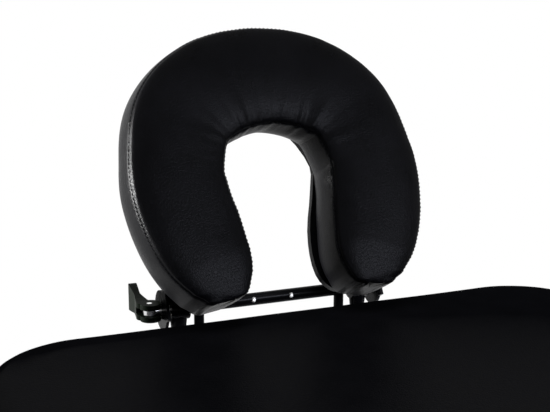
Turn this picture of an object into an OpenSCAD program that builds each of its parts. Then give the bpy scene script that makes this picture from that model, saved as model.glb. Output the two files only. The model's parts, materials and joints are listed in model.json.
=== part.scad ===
// Folding massage table in two halves, with an adjustable face cradle at the head end.
// X runs across the table, Y along it towards the head, Z up. The floor is Z = 0.
// Y = 0 is midway between the foot end and the far side of the cradle.

/* [Padded top] */
// Length of the padded top, both halves together
top_l = 1860; // [1760:10:2000]
// Width of the padded top
top_w = 600; // [580:5:680]
// Height of the padded top with the legs at their shortest
top_h = 585; // [575:5:625]
// Radius of the four corners of the top, seen from above
corner_r = 90; // [70:5:100]
// Thickness of the foam pad with its cover
pad_t = 55; // [45:1:65]
// How far the pad rises from its edge to its middle
pad_crown = 2; // [1:0.5:4]
// Radius of the padded edge
pad_edge_r = 18; // [12:1:22]
// Gap between the two pads at the centre fold
seam_gap = 1.2; // [0.8:0.2:2]
// Thickness of the plywood board under each pad
board_t = 10; // [8:1:12]

/* [Frame rails] */
// Height of the rails
rail_h = 70; // [66:1:76]
// Width of the rails
rail_w = 22; // [20:1:26]
// Wall of the rails
rail_wall = 2; // [1.6:0.2:3]
// Distance from the edge of the pad in to the rails
frame_inset = 28; // [27:1:32]

/* [Legs] */
// Outer diameter of the upper leg tubes
leg_d = 32; // [30:1:34]
// Wall of all the leg tubes
leg_wall = 1.8; // [1.4:0.2:2.2]
// Length of the upper leg tubes below their pivot
leg_upper_l = 311; // [290:1:320]
// Length of lower leg inside the upper leg at the shortest setting
leg_overlap = 238; // [225:1:242]
// Number of steps in height above the lowest
height_steps = 6; // [4:1:6]
// Distance between two steps in height
step_pitch = 30; // [25:1:31]
// Diameter of the bolts that the legs pivot on
leg_bolt_d = 8; // [6:1:10]
// Diameter of the bar that joins the two legs of an end
leg_bar_d = 22; // [18:1:25]
// Distance from the leg pivot down to that bar
leg_bar_drop = 205; // [190:1:215]
// Diameter of the rubber feet at the floor
foot_d = 36; // [34:1:38]
// Height of the rubber feet
foot_h = 30; // [25:1:36]
// Diameter of the height buttons
button_d = 8; // [6:0.5:9]

/* [Folding stays] */
// Distance along the rail from the leg pivot to the upper end of the stay
stay_reach = 440; // [420:5:460]
// Distance along the leg from its pivot to the lower end of the stay
stay_drop = 250; // [240:5:265]
// Width of the stay bars
stay_w = 20; // [16:1:24]
// Thickness of the stay bars
stay_t = 3.5; // [3:0.5:4]

/* [Face cradle] */
// Tilt of the cradle as it stands in the photograph, from level
cradle_tilt = 60.5; // [55:0.5:62]
// Distance from the end of the pad out to the cradle pivots
hub_out = 40; // [38:1:50]
// Depth from the seam of the cushion back to the tilt pivot
hub_depth = 88; // [86:1:96]
// Distance from the tilt pivot to the tips of the cushion, along the cushion
hub_tip = 17; // [14:1:18]
// Width of the cushion at its seams
cushion_w = 290; // [280:2:300]
// Length of the cushion from its tips to the top of its arch
cushion_l = 269; // [262:1:276]
// Thickness of the cushion from its back to its seam
cushion_t = 56; // [50:1:58]
// How far the face of the cushion rises above its seam
cushion_crown = 8; // [5:1:10]
// Thickness of the plate that carries the cushion
plate_t = 8; // [6:1:9]
// Distance from the middle to each of the two cradle arms
arm_x = 96; // [92:1:98]
// Diameter of the cradle arms
arm_d = 14; // [13:1:15]
// Diameter of the two rods that slide into the end rail
rod_d = 14; // [12:1:16]
// Length of rod inside the table
rod_in = 150; // [120:5:180]
// Diameter of the crossbar between the arms
bar_d = 12.5; // [11:0.5:14]
// Distance from the middle to each thin post
post_x = 75; // [70:1:77]
// Diameter of the thin posts
post_d = 10; // [8:0.5:11]
// Diameter of the two clamp bolts
bolt_d = 6; // [5:0.5:7]
// Diameter of the round plates that the tilt lever clamps
disc_d = 39; // [34:1:40]
// Distance from the top of the pad down to the tilt pivot
hub_drop = 3.5; // [2:0.5:6]
// Height of the clamp levers at their tips
lever_h = 27; // [24:1:30]
// Reach of the clamp levers from their pins
lever_reach = 57; // [50:1:62]

/* [Fold, latches and handles] */
// Length of each of the two centre hinges
hinge_l = 60; // [50:2:80]
// Distance from the middle to the middle of each centre hinge
hinge_x = 190; // [180:5:205]
// Thickness of the hinge leaves
leaf_t = 2; // [1.6:0.2:2.4]
// Diameter of the hinge knuckles
knuckle_d = 9; // [8:0.5:10]
// Diameter of the hinge pins
hinge_pin_d = 4; // [3:0.5:5]
// Distance from the centre fold to the latches
latch_y = 740; // [700:5:780]
// Height of the latch pivots above the underside of the rails
latch_rise = 30; // [26:1:34]
// Distance from the centre fold to the middle of each carrying handle
handle_y = 300; // [260:5:340]
// Span of each carrying handle between its two ends
handle_span = 140; // [130:5:160]
// How far the carrying handles stand out from the rail
handle_bow = 24; // [20:1:28]

/* [Hidden] */

$fn = 48;

// Clearances and overruns
run_play = 0.05;      // radial play of a pin in its hole
slide_play = 0.3;     // radial play between telescoping tubes
seat_gap = 0.3;       // gap between soft pieces and what they rest on
over = 1;             // overrun of cuts

// Places that follow from the driving sizes
half_l = top_l / 2;
frame_top = top_h - pad_t - board_t;
frame_bot = frame_top - rail_h;
rail_x = top_w / 2 - frame_inset;
rail_in = rail_x - rail_w;
end_y = half_l - frame_inset;
end_in = end_y - rail_w;
seam_clear = knuckle_d / 2 + 1.5;
fold_z = frame_bot - leaf_t - seat_gap;
board_inset = 4;
board_seam_r = 6;
pad_seam_r = 14;

// Stays lie side by side between the leg and the rail
stay_leg_gap = 2;
stay_mid_gap = 1;
stay_rail_gap = 2;
stay_pin_d = 8;
stay_head_d = 13;
stay_head_t = 1.3;
leg_side_gap = stay_leg_gap + stay_mid_gap + stay_rail_gap + 2 * stay_t;
leg_x = rail_in - leg_side_gap - leg_d / 2;
bracket_web = 3.7;
leg_y = end_in - bracket_web - seat_gap - leg_d / 2;
leg_drop = 24;
leg_z = frame_top - leg_drop;
stay_diag = sqrt(stay_reach * stay_reach + stay_drop * stay_drop);
stay_a = (stay_diag + stay_reach - stay_drop) / 2;
stay_b = (stay_diag - stay_reach + stay_drop) / 2;
stay_angle = atan(stay_drop / stay_reach);

// Lower legs
upper_end_z = leg_z - leg_upper_l;
lower_d = leg_d - 2 * leg_wall - 2 * slide_play;
foot_floor = 8;
foot_grip = 4;
button_z = upper_end_z + height_steps * step_pitch + button_d * 3;
button_out = 2.5;
button_flange_d = button_d + 3;
button_flange_t = 1.4;
button_chamfer = 1.5;
button_play = 0.2;

// Brackets
cheek_t = 5;
cheek_gap = 2;
bracket_plate_t = 5;
bracket_r = 18;
bolt_head_d = 14;
bolt_head_t = 5;

// Cradle
rod_z = frame_bot + rail_h / 2;
hub_y = half_l + hub_out;
hub_z = top_h - hub_drop;
eye_side = 2.5;
eye_w = arm_d + 2 * eye_side;
eye_d = 22;
eye_gap = 0.5;
flare_d = arm_d + 1.6 * eye_side;
flare_l = 18;
flare_drop = 5;
rod_eye_side = 0.5;
rod_eye_w = rod_d + 2 * rod_eye_side;
rod_x = arm_x + eye_w / 2 + eye_gap + rod_eye_w / 2;
disc_t = 3;
spacer_l = 5;
disc_x = arm_x + eye_w / 2 + spacer_l;
socket_wall = 3;
socket_l = 52;
socket_flange_t = 3;
socket_flange_w = 5;
socket_play = 0.1;
lever_side = disc_x + disc_t;
spacer_d = 13;
lever_r = 10;
lever_ecc = 1;
lever_gap = 0.2;
lever_body_h = 17;
lever_side_play = 0.3;
lever_slot = bolt_d + 2 * lever_side_play;
lever_pin_d = 5;
bolt_eye_d = 12;
bolt_eye_t = 5;
nut_d = 10;
nut_t = 4;
plate_n = hub_depth - cushion_t - seat_gap - plate_t;
flange_t = 3;
flange_w = 27;
flange_l = 40;
bracket_w = 30;
rivet_x = 20;
rivet_d = 5;
rivet_rise = 13;
screw_d = 4;
screw_head_d = 8;
screw_head_t = 2;

// Latches and handles
hook_t = 2.5;
hook_w = 16;
hook_gap = 0.4;
latch_pin_d = 6;
latch_head_d = 12;
latch_head_t = 2.5;
latch_z = frame_bot + latch_rise;
hook_l = 2 * (latch_z - fold_z);
hook_slot_play = 0.5;
strap_t = 3;
strap_w = 28;
tab_l = 26;
grip_t = 10;
grip_w = 33;
grip_l = 84;
handle_z = frame_bot + rail_h / 2;

// Reach of the cradle past the pad, for the middle of the whole object along Y
cradle_reach = hub_out + (cushion_l - hub_tip) * cos(cradle_tilt) - (hub_depth - cushion_t) * sin(cradle_tilt);
seam_y = -cradle_reach / 2;

// Moves the model so that the origin is midway along the whole object
module place() {
    translate([0, seam_y, 0]) children();
}

// Turns what is drawn for the head half into its twin on the foot half
module foot_side() {
    mirror([0, 1, 0]) children();
}

// Draws a piece at the right, and its twin at the left
module both_sides() {
    children();
    mirror([1, 0, 0]) children();
}

// A cylinder along X, from x = from to x = to
module x_rod(d, from, to) {
    translate([from, 0, 0]) rotate([0, 90, 0]) cylinder(d = d, h = to - from);
}

// A cylinder along Y, from y = from to y = to
module y_rod(d, from, to) {
    translate([0, from, 0]) rotate([-90, 0, 0]) cylinder(d = d, h = to - from);
}

// A box between two corners
module block(lo, hi) {
    translate(lo) cube(hi - lo);
}

// Points on an arc
function arc_points(c, r, a0, a1, n) =
    [for (i = [0:n]) c + r * [cos(a0 + (a1 - a0) * i / n), sin(a0 + (a1 - a0) * i / n)]];

// One corner of the top, drawn in by inset
function corner(x, y, r, inset, sx, sy, a0, n) =
    let (rr = max(r - inset, 1))
    arc_points([sx * (x - inset - rr), y - sy * (inset + rr)], rr, a0, a0 + 90, n);

corner_steps = 9;
seam_steps = 3;

// Outline of one half of the top, anticlockwise, drawn in by inset
function top_outline(inset, outer_r, inner_r, w, y0, y1) = concat(
    corner(w / 2, y1, outer_r, inset, 1, 1, 0, corner_steps),
    corner(w / 2, y1, outer_r, inset, -1, 1, 90, corner_steps),
    corner(w / 2, y0, inner_r, inset, -1, -1, 180, seam_steps),
    corner(w / 2, y0, inner_r, inset, 1, -1, 270, seam_steps));

function mean(points, i = 0) =
    i == len(points) - 1 ? points[i] / len(points) : points[i] / len(points) + mean(points, i + 1);

// Closes a stack of rings, each with as many points, into one solid
module skin(rings) {
    n = len(rings[0]);
    m = len(rings);
    points = concat([for (r = rings) each r], [mean(rings[0]), mean(rings[m - 1])]);
    sides = [for (i = [0:m - 2], j = [0:n - 1]) let (k = (j + 1) % n) each [
        [i * n + j, (i + 1) * n + j, (i + 1) * n + k],
        [i * n + j, (i + 1) * n + k, i * n + k]]];
    bottom = [for (j = [0:n - 1]) [m * n, j, (j + 1) % n]];
    lid = [for (j = [0:n - 1]) [m * n + 1, (m - 1) * n + (j + 1) % n, (m - 1) * n + j]];
    polyhedron(points, concat(sides, bottom, lid));
}

// Pad of one half: drawn in under its edge, upright sides, rounded edge and a low crown
pad_tuck = 3;
pad_crown_runs_shares = [[0.35, 0.45], [0.7, 0.8], [1, 1]];
module half_pad() {
    side_t = pad_t - pad_crown;
    crown_run = top_w / 2 - pad_edge_r - corner_r / 2;
    edge = [for (a = [0:15:90]) [pad_edge_r * (1 - cos(a)), side_t - pad_edge_r * (1 - sin(a))]];
    crown = [for (s = pad_crown_runs_shares) [pad_edge_r + crown_run * s[0], side_t + pad_crown * s[1]]];
    levels = concat([[pad_tuck, 0], [pad_tuck / 3, pad_tuck], [0, pad_tuck * 2]], edge, crown);
    skin([for (l = levels)
        [for (p = top_outline(l[0], corner_r, pad_seam_r, top_w, seam_gap / 2, half_l))
            [p[0], p[1], top_h - pad_t + l[1]]]]);
}

// Board of one half
module half_board() {
    outline = top_outline(board_inset, corner_r, board_seam_r + board_inset, top_w,
        seam_gap / 2 - board_inset, half_l);
    translate([0, 0, frame_top]) linear_extrude(board_t) polygon(outline);
}

// Rail along one side, with holes for the stay, the latch and the handle
module side_rail(handle_side) {
    difference() {
        block([rail_in, seam_clear, frame_bot], [rail_x, end_y, frame_top]);
        block([rail_in + rail_wall, seam_clear - over, frame_bot + rail_wall],
              [rail_x - rail_wall, end_y + over, frame_top - rail_wall]);
        translate([0, leg_y - stay_reach, leg_z])
            x_rod(stay_pin_d + 2 * run_play, rail_in - over, rail_in + rail_wall + over);
        translate([0, latch_y, latch_z])
            x_rod(latch_pin_d + 2 * run_play, rail_x - rail_wall - over, rail_x + over);
        if (handle_side) for (s = [-1, 1])
            translate([0, handle_y + s * (handle_span + tab_l) / 2, handle_z])
                x_rod(screw_d + 2 * run_play, rail_x - rail_wall - over, rail_x + over);
    }
}

// Rail across the end, bored for the cradle sockets on the head half
module end_rail(with_sockets) {
    difference() {
        block([-rail_in, end_in, frame_bot], [rail_in, end_y, frame_top]);
        block([-rail_in - over, end_in + rail_wall, frame_bot + rail_wall],
              [rail_in + over, end_y - rail_wall, frame_top - rail_wall]);
        if (with_sockets) both_sides() translate([rod_x, 0, rod_z])
            y_rod(rod_d + 2 * (socket_play + socket_wall + run_play), end_in - over, end_y + over);
    }
}

// Rail across the fold
module seam_rail() {
    difference() {
        block([-rail_in, seam_clear, frame_bot], [rail_in, seam_clear + rail_w, frame_top]);
        block([-rail_in - over, seam_clear + rail_wall, frame_bot + rail_wall],
              [rail_in + over, seam_clear + rail_w - rail_wall, frame_top - rail_wall]);
    }
}

// Corner bracket that carries a leg, with a web that stops the leg upright
module leg_bracket() {
    inner = leg_x - leg_d / 2 - cheek_gap - cheek_t;
    outer = leg_x + leg_d / 2 + cheek_gap;
    difference() {
        union() {
            block([inner, leg_y - bracket_r, frame_top - bracket_plate_t], [rail_in, end_in, frame_top]);
            for (x = [[inner, inner + cheek_t], [outer, rail_in]]) {
                block([x[0], leg_y, leg_z - bracket_r], [x[1], end_in, frame_top]);
                block([x[0], leg_y - bracket_r, leg_z], [x[1], end_in, frame_top]);
                translate([0, leg_y, leg_z]) x_rod(2 * bracket_r, x[0], x[1]);
            }
            block([inner, end_in - bracket_web, leg_z - bracket_r], [rail_in, end_in, frame_top]);
        }
        translate([0, leg_y, leg_z]) x_rod(leg_bolt_d + 2 * run_play, inner - over, rail_in + over);
    }
}

// Bolt that a leg pivots on, its head towards the middle
module leg_bolt() {
    inner = leg_x - leg_d / 2 - cheek_gap - cheek_t;
    translate([0, leg_y, leg_z]) {
        x_rod(leg_bolt_d, inner - bolt_head_t, rail_in - seat_gap);
        x_rod(bolt_head_d, inner - bolt_head_t, inner);
    }
}

// Upper tube of a leg, rounded over its pivot, with a row of holes for the height button
module upper_leg() {
    difference() {
        intersection() {
            translate([leg_x, leg_y, upper_end_z]) cylinder(d = leg_d, h = leg_upper_l + leg_d);
            union() {
                translate([0, leg_y, leg_z]) x_rod(leg_d, leg_x - leg_d, leg_x + leg_d);
                block([leg_x - leg_d, leg_y - leg_d, upper_end_z - over], [leg_x + leg_d, leg_y + leg_d, leg_z]);
            }
        }
        translate([leg_x, leg_y, upper_end_z - over])
            cylinder(d = leg_d - 2 * leg_wall, h = leg_upper_l - leg_d / 2 + over);
        translate([0, leg_y, leg_z])
            x_rod(leg_bolt_d + 2 * run_play, leg_x - leg_d, leg_x + leg_d);
        for (k = [0:height_steps]) translate([leg_x, leg_y, button_z - k * step_pitch])
            y_rod(button_d + 2 * button_play, 0, leg_d);
        translate([0, leg_y, leg_z - stay_drop])
            x_rod(stay_pin_d + 2 * run_play, leg_x + leg_d / 2 - leg_wall * 2, leg_x + leg_d);
    }
}

// Bar between the two legs of an end, coped to the tubes
module leg_bar() {
    difference() {
        translate([0, leg_y, leg_z - leg_bar_drop]) difference() {
            x_rod(leg_bar_d, -leg_x, leg_x);
            x_rod(leg_bar_d - 2 * leg_wall, -leg_x, leg_x);
        }
        both_sides() translate([leg_x, leg_y, leg_z - leg_bar_drop - leg_d])
            cylinder(d = leg_d, h = 2 * leg_d);
    }
}

// Lower tube of a leg
module lower_leg() {
    difference() {
        translate([leg_x, leg_y, foot_floor]) cylinder(d = lower_d, h = upper_end_z + leg_overlap - foot_floor);
        translate([leg_x, leg_y, foot_floor - over])
            cylinder(d = lower_d - 2 * leg_wall, h = upper_end_z + leg_overlap + 2 * over);
        translate([leg_x, leg_y, button_z]) y_rod(button_d + 2 * run_play, 0, leg_d);
    }
}

// Rubber foot on the end of a lower leg
module rubber_foot() {
    difference() {
        translate([leg_x, leg_y, 0]) cylinder(d1 = foot_d, d2 = lower_d + 2 * foot_grip, h = foot_h);
        translate([leg_x, leg_y, foot_floor]) cylinder(d = lower_d + 2 * run_play, h = foot_h);
    }
}

// Height button: a flange inside the lower tube, and a chamfered head through both tubes
module height_button() {
    reach = leg_d / 2 + button_out;
    flange_out = sqrt(pow(lower_d / 2 - leg_wall, 2) - pow(button_flange_d / 2, 2)) - seat_gap;
    translate([leg_x, leg_y, button_z]) {
        y_rod(button_flange_d, flange_out - button_flange_t, flange_out);
        y_rod(button_d, flange_out - button_flange_t, reach - button_chamfer);
        translate([0, reach - button_chamfer, 0]) rotate([-90, 0, 0])
            cylinder(d1 = button_d, d2 = button_d - 2 * button_chamfer, h = button_chamfer);
    }
}

// A flat bar along Y with round ends, drawn from x = 0 to its thickness
module link(l) {
    block([0, 0, -stay_w / 2], [stay_t, l, stay_w / 2]);
    for (y = [0, l]) translate([0, y, 0]) x_rod(stay_w, 0, stay_t);
}

stay_a_x = rail_in - stay_rail_gap - stay_t;
stay_b_x = leg_x + leg_d / 2 + stay_leg_gap;

// Upper bar of a stay, with the head of its half of the knee rivet
module stay_upper() {
    translate([0, leg_y - stay_reach, leg_z]) rotate([-stay_angle, 0, 0]) {
        difference() {
            translate([stay_a_x, 0, 0]) link(stay_a);
            x_rod(stay_pin_d + 2 * run_play, 0, 2 * stay_a_x);
        }
        translate([0, stay_a, 0]) x_rod(stay_head_d, stay_a_x + stay_t, stay_a_x + stay_t + stay_head_t);
    }
}

// Lower bar of a stay, with its half of the knee rivet and the pin that holds it to the leg
module stay_lower() {
    translate([0, leg_y, leg_z - stay_drop]) rotate([180 - stay_angle, 0, 0]) {
        translate([stay_b_x, 0, 0]) link(stay_b);
        translate([0, stay_b, 0]) x_rod(stay_head_d, stay_b_x - stay_head_t, stay_b_x);
        x_rod(stay_pin_d, leg_x + leg_d / 2 - leg_wall + seat_gap, stay_b_x);
    }
}

// Stud on the rail that the upper bar of a stay turns on
module stay_stud() {
    translate([0, leg_y - stay_reach, leg_z]) {
        x_rod(stay_pin_d, stay_a_x - 2 * stay_head_t, rail_in + rail_wall);
        x_rod(stay_head_d, stay_a_x - 2 * stay_head_t, stay_a_x - seat_gap);
        x_rod(stay_head_d, stay_a_x + stay_t + seat_gap, rail_in);
    }
}

// Leaf of a centre hinge: a plate under the seam rail and its share of the knuckles
module hinge_leaf(first, last) {
    knuckle_l = hinge_l / 3;
    leaf_y = seam_clear + rail_w;
    difference() {
        union() {
            for (k = [first:2:last]) {
                x0 = hinge_x - hinge_l / 2 + k * knuckle_l + (k > 0 ? seat_gap : 0);
                x1 = hinge_x - hinge_l / 2 + (k + 1) * knuckle_l - (k < 2 ? seat_gap : 0);
                translate([0, 0, fold_z]) x_rod(knuckle_d, x0, x1);
                block([x0, 0, frame_bot - leaf_t], [x1, leaf_y, frame_bot]);
            }
            block([hinge_x - hinge_l / 2, seam_clear, frame_bot - leaf_t],
                  [hinge_x + hinge_l / 2, leaf_y, frame_bot]);
        }
        translate([0, 0, fold_z])
            x_rod(hinge_pin_d + 2 * run_play, hinge_x - hinge_l, hinge_x + hinge_l);
    }
}

// Socket that a cradle rod slides in, with a flange against the end rail
module cradle_socket() {
    difference() {
        translate([rod_x, 0, rod_z]) {
            y_rod(rod_d + 2 * (socket_play + socket_wall), end_y - socket_l, end_y + socket_flange_t);
            y_rod(rod_d + 2 * (socket_play + socket_wall + socket_flange_w), end_y, end_y + socket_flange_t);
        }
        translate([rod_x, 0, rod_z]) y_rod(rod_d + 2 * socket_play, end_y - socket_l - over, half_l);
    }
}

// Outline of a strap that bows out from the rail, as a band of the given thickness
bow_r = (pow(handle_span / 2, 2) + pow(handle_bow, 2)) / (2 * handle_bow);
module bow_band(t) {
    translate([rail_x + strap_t / 2 + handle_bow - bow_r, handle_y]) difference() {
        circle(r = bow_r + t / 2, $fn = 180);
        circle(r = bow_r - t / 2, $fn = 180);
    }
}

// Carrying handle: a webbing strap with flat ends and a padded grip round its middle
module carry_handle() {
    difference() {
        translate([0, 0, handle_z - strap_w / 2]) linear_extrude(strap_w) {
            intersection() {
                bow_band(strap_t);
                translate([rail_x, handle_y - handle_span]) square([2 * handle_bow + grip_t, 2 * handle_span]);
            }
            for (s = [-1, 1]) translate([rail_x, handle_y + s * (handle_span + tab_l) / 2 - tab_l / 2])
                square([strap_t, tab_l]);
        }
        for (s = [-1, 1]) translate([0, handle_y + s * (handle_span + tab_l) / 2, handle_z])
            x_rod(screw_d + 2 * run_play, rail_x - over, rail_x + 2 * handle_bow);
    }
    difference() {
        translate([0, 0, handle_z - grip_w / 2]) linear_extrude(grip_w) intersection() {
            bow_band(grip_t);
            translate([rail_x, handle_y - grip_l / 2]) square([2 * handle_bow + grip_t, grip_l]);
        }
        translate([0, 0, handle_z - strap_w / 2]) linear_extrude(strap_w) bow_band(strap_t);
    }
}

// Screws through the ends of a carrying handle
module handle_screws() {
    for (s = [-1, 1]) translate([0, handle_y + s * (handle_span + tab_l) / 2, handle_z]) {
        x_rod(screw_d, rail_x - rail_wall, rail_x + strap_t + screw_head_t);
        x_rod(2 * screw_head_d, rail_x + strap_t, rail_x + strap_t + screw_head_t);
    }
}

// Screw that a latch hook turns on, and the stud that the hook catches
module latch_screw() {
    out = rail_x + hook_gap + hook_t + hook_gap;
    translate([0, latch_y, latch_z]) {
        x_rod(latch_pin_d, rail_x - rail_wall, out + latch_head_t);
        x_rod(latch_head_d, out, out + latch_head_t);
    }
}

// Latch hook, stowed along the rail, its mouth underneath near its end
module latch_hook() {
    x0 = rail_x + hook_gap;
    slot = latch_pin_d + 2 * hook_slot_play;
    translate([x0, latch_y, latch_z]) difference() {
        union() {
            block([0, -hook_l, -hook_w / 2], [hook_t, 0, hook_w / 2]);
            for (y = [-hook_l, 0]) translate([0, y, 0]) x_rod(hook_w, 0, hook_t);
        }
        x_rod(latch_pin_d + 2 * run_play, -over, hook_t + over);
        translate([0, -hook_l, 0]) x_rod(slot, -over, hook_t + over);
        block([-over, -hook_l - slot / 2, -hook_w], [hook_t + over, -hook_l + slot / 2, 0]);
    }
}

// Places what is drawn round the lift pivot, where the arms meet the rods
module at_lift() {
    translate([0, hub_y, rod_z]) children();
}

// Places what is drawn round the tilt pivot
module at_hub() {
    translate([0, hub_y, hub_z]) children();
}

// Places what is drawn on the tilting cradle: X across, Y up the cushion, Z out of its face
module on_cradle() {
    at_hub() rotate([cradle_tilt, 0, 0]) children();
}

// Rod that slides into the end rail, with an eye at its outer end
module cradle_rod() {
    difference() {
        union() {
            translate([rod_x, 0, rod_z]) y_rod(rod_d, end_y - rod_in, hub_y);
            at_lift() x_rod(eye_d, rod_x - rod_eye_w / 2, rod_x + rod_eye_w / 2);
        }
        at_lift() x_rod(bolt_d + 2 * run_play, arm_x, 2 * rod_x);
    }
}

// Arm between the lift pivot and the tilt pivot, with an eye at each end and a flared shoulder at the top
module cradle_arm() {
    difference() {
        union() {
            translate([arm_x, hub_y, rod_z]) cylinder(d = arm_d, h = hub_z - rod_z);
            translate([arm_x, hub_y, hub_z - flare_drop - flare_l]) cylinder(d1 = arm_d, d2 = flare_d, h = flare_l);
            at_lift() x_rod(eye_d, arm_x - eye_w / 2, arm_x + eye_w / 2);
            at_hub() x_rod(eye_d, arm_x - eye_w / 2, arm_x + eye_w / 2);
        }
        at_lift() x_rod(bolt_d + 2 * run_play, 0, 2 * arm_x);
        at_hub() x_rod(bolt_d + 2 * run_play, 0, 2 * arm_x);
    }
}

// Crossbar round the tilt bolt, with two thin posts down to a bar round the lift bolt, and two rivets
module crossbar() {
    reach = arm_x - eye_w / 2;
    difference() {
        union() {
            at_lift() x_rod(bar_d, -reach, reach);
            at_hub() x_rod(bar_d, -reach, reach);
            both_sides() translate([post_x, hub_y, rod_z]) cylinder(d = post_d, h = hub_z - rod_z);
        }
        at_lift() x_rod(bolt_d + 2 * run_play, -rod_x, rod_x);
        at_hub() x_rod(bolt_d + 2 * run_play, -rod_x, rod_x);
        both_sides() at_hub() rivet(2 * run_play, -over);
    }
    both_sides() at_hub() rivet(0, seat_gap);
}

// Rivet in the front of the crossbar
rivet_head_t = 1.5;
module rivet(extra, back) {
    translate([rivet_x, 0, 0]) rotate([-rivet_rise, 0, 0]) rotate([90, 0, 0]) {
        translate([0, 0, bolt_d / 2 + back])
            cylinder(d = rivet_d / 2 + extra, h = bar_d / 2 - bolt_d / 2 - back + over / 2);
        if (extra == 0) translate([0, 0, bar_d / 2 + 2 * run_play])
            cylinder(d1 = rivet_d, d2 = rivet_d / 2, h = rivet_head_t);
    }
}

// Clamp bolt along X: an eye for the lever pin at the left, a nut at the right
module clamp_bolt(side) {
    eye_x = -side - lever_r - lever_ecc - lever_gap;
    difference() {
        union() {
            x_rod(bolt_d, eye_x, side + nut_t);
            translate([eye_x, 0, -bolt_eye_t / 2]) cylinder(d = bolt_eye_d, h = bolt_eye_t);
        }
        translate([eye_x, 0, -lever_h]) cylinder(d = lever_pin_d + 2 * run_play, h = 2 * lever_h);
    }
    translate([eye_x, 0, -lever_body_h / 2]) cylinder(d = lever_pin_d, h = lever_body_h);
    difference() {
        x_rod(nut_d, side + seat_gap / 3, side + nut_t, $fn = 6);
        x_rod(bolt_d, side - over, side + nut_t + over);
    }
}

// Clamp lever in its closed place: a forked cam on the bolt's pin, and a paddle that reaches back,
// grows taller on its way and ends in a rounded bead
handle_root_shares = [0.08, 0.12];
handle_waist_shares = [0.07, 0.52];
handle_tip_shares = [0.04, 1];
lever_root_r = 6.5;
lever_waist_r = 3;
lever_tip_r = 4.2;
// Along the lever from its pin, as shares of its reach, and the share of the growth in height there
lever_side_shares = [[0.16, 0], [0.32, 0.06], [0.46, 0.2], [0.6, 0.42], [0.74, 0.7], [0.86, 0.92], [0.93, 1],
                     [0.97, 0.93], [1, 0.7]];
function lever_at(shares, r) = [-shares[0] * lever_reach, shares[1] * (lever_reach - r)];
module lever_side() {
    top = [for (s = lever_side_shares)
        [s[0] * lever_reach, lever_body_h / 2 + s[1] * (lever_h - lever_body_h) / 2]];
    outline = concat([[-lever_reach, lever_body_h / 2]], top);
    under = [for (i = [len(outline) - 1:-1:0]) [outline[i][0], -outline[i][1]]];
    polygon(concat(outline, under));
}
module clamp_lever(side) {
    eye_x = -side - lever_r - lever_ecc - lever_gap;
    root = lever_at(handle_root_shares, 0);
    waist = lever_at(handle_waist_shares, 0);
    tip = lever_at(handle_tip_shares, lever_tip_r);
    translate([eye_x, 0, 0]) difference() {
        intersection() {
            translate([0, 0, -lever_h / 2]) linear_extrude(lever_h) {
                translate([lever_ecc, 0]) circle(r = lever_r);
                hull() {
                    translate(root) circle(r = lever_root_r);
                    translate(waist) circle(r = lever_waist_r);
                }
                hull() {
                    translate(waist) circle(r = lever_waist_r);
                    translate(tip) circle(r = lever_tip_r);
                }
            }
            translate([-lever_reach, 0, 0]) rotate([90, 0, 90]) linear_extrude(2 * lever_reach) lever_side();
        }
        translate([0, 0, -lever_h]) cylinder(d = lever_pin_d + 2 * run_play, h = 2 * lever_h);
        block([-lever_reach, -lever_reach, -lever_slot / 2],
              [lever_reach, lever_r + lever_ecc + lever_gap, lever_slot / 2]);
    }
}

// Spacers of the tilt clamp, one on the bolt in each gap beside the arms
module spacers() {
    at_hub() both_sides() difference() {
        x_rod(spacer_d, arm_x + eye_w / 2 + seat_gap, disc_x - seat_gap);
        x_rod(bolt_d + 2 * run_play, arm_x, disc_x);
    }
}

// Bracket of the cradle plate: a round clamp plate, a web and a flange under the cushion plate
module cradle_bracket() {
    difference() {
        on_cradle() {
            x_rod(disc_d, disc_x, disc_x + disc_t);
            block([disc_x, 0, 0], [disc_x + disc_t, bracket_w / 2, plate_n]);
            block([disc_x, -bracket_w / 2, 0], [disc_x + disc_t, 0, plate_n - flange_t]);
            block([disc_x, 0, plate_n - 2 * flange_t], [disc_x + disc_t, flange_l, plate_n]);
            block([disc_x + disc_t - flange_w, 0, plate_n - flange_t], [disc_x + disc_t, flange_l, plate_n]);
        }
        at_hub() x_rod(bolt_d + 2 * run_play, 0, 2 * disc_x);
        on_cradle() bracket_holes() cylinder(d = screw_d + 2 * run_play, h = 2 * plate_n);
    }
}

// The two screw places on a bracket's flange
hole_step_shares = [0.3, 0.8];
module bracket_holes() {
    for (s = hole_step_shares)
        translate([disc_x + disc_t - flange_w / 2, s * flange_l, 0]) children();
}

// Screws from the flanges up into the plate
module bracket_screws() {
    bracket_holes() {
        translate([0, 0, plate_n - flange_t]) cylinder(d = screw_d, h = flange_t + plate_t - over);
        translate([0, 0, plate_n - flange_t - screw_head_t]) cylinder(d = screw_head_d, h = screw_head_t);
    }
}

// Catmull-Rom curve through the points p, with k steps between two points
function through(p, i) = p[min(max(i, 0), len(p) - 1)];
function curve_at(p, i, t) = 0.5 * (
    2 * through(p, i) + (through(p, i + 1) - through(p, i - 1)) * t
    + (2 * through(p, i - 1) - 5 * through(p, i) + 4 * through(p, i + 1) - through(p, i + 2)) * t * t
    + (3 * through(p, i) - through(p, i - 1) - 3 * through(p, i + 1) + through(p, i + 2)) * t * t * t);
function curve(p, k) = concat([for (i = [0:len(p) - 2], j = [0:k - 1]) curve_at(p, i, j / k)],
    [p[len(p) - 1]]);

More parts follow.
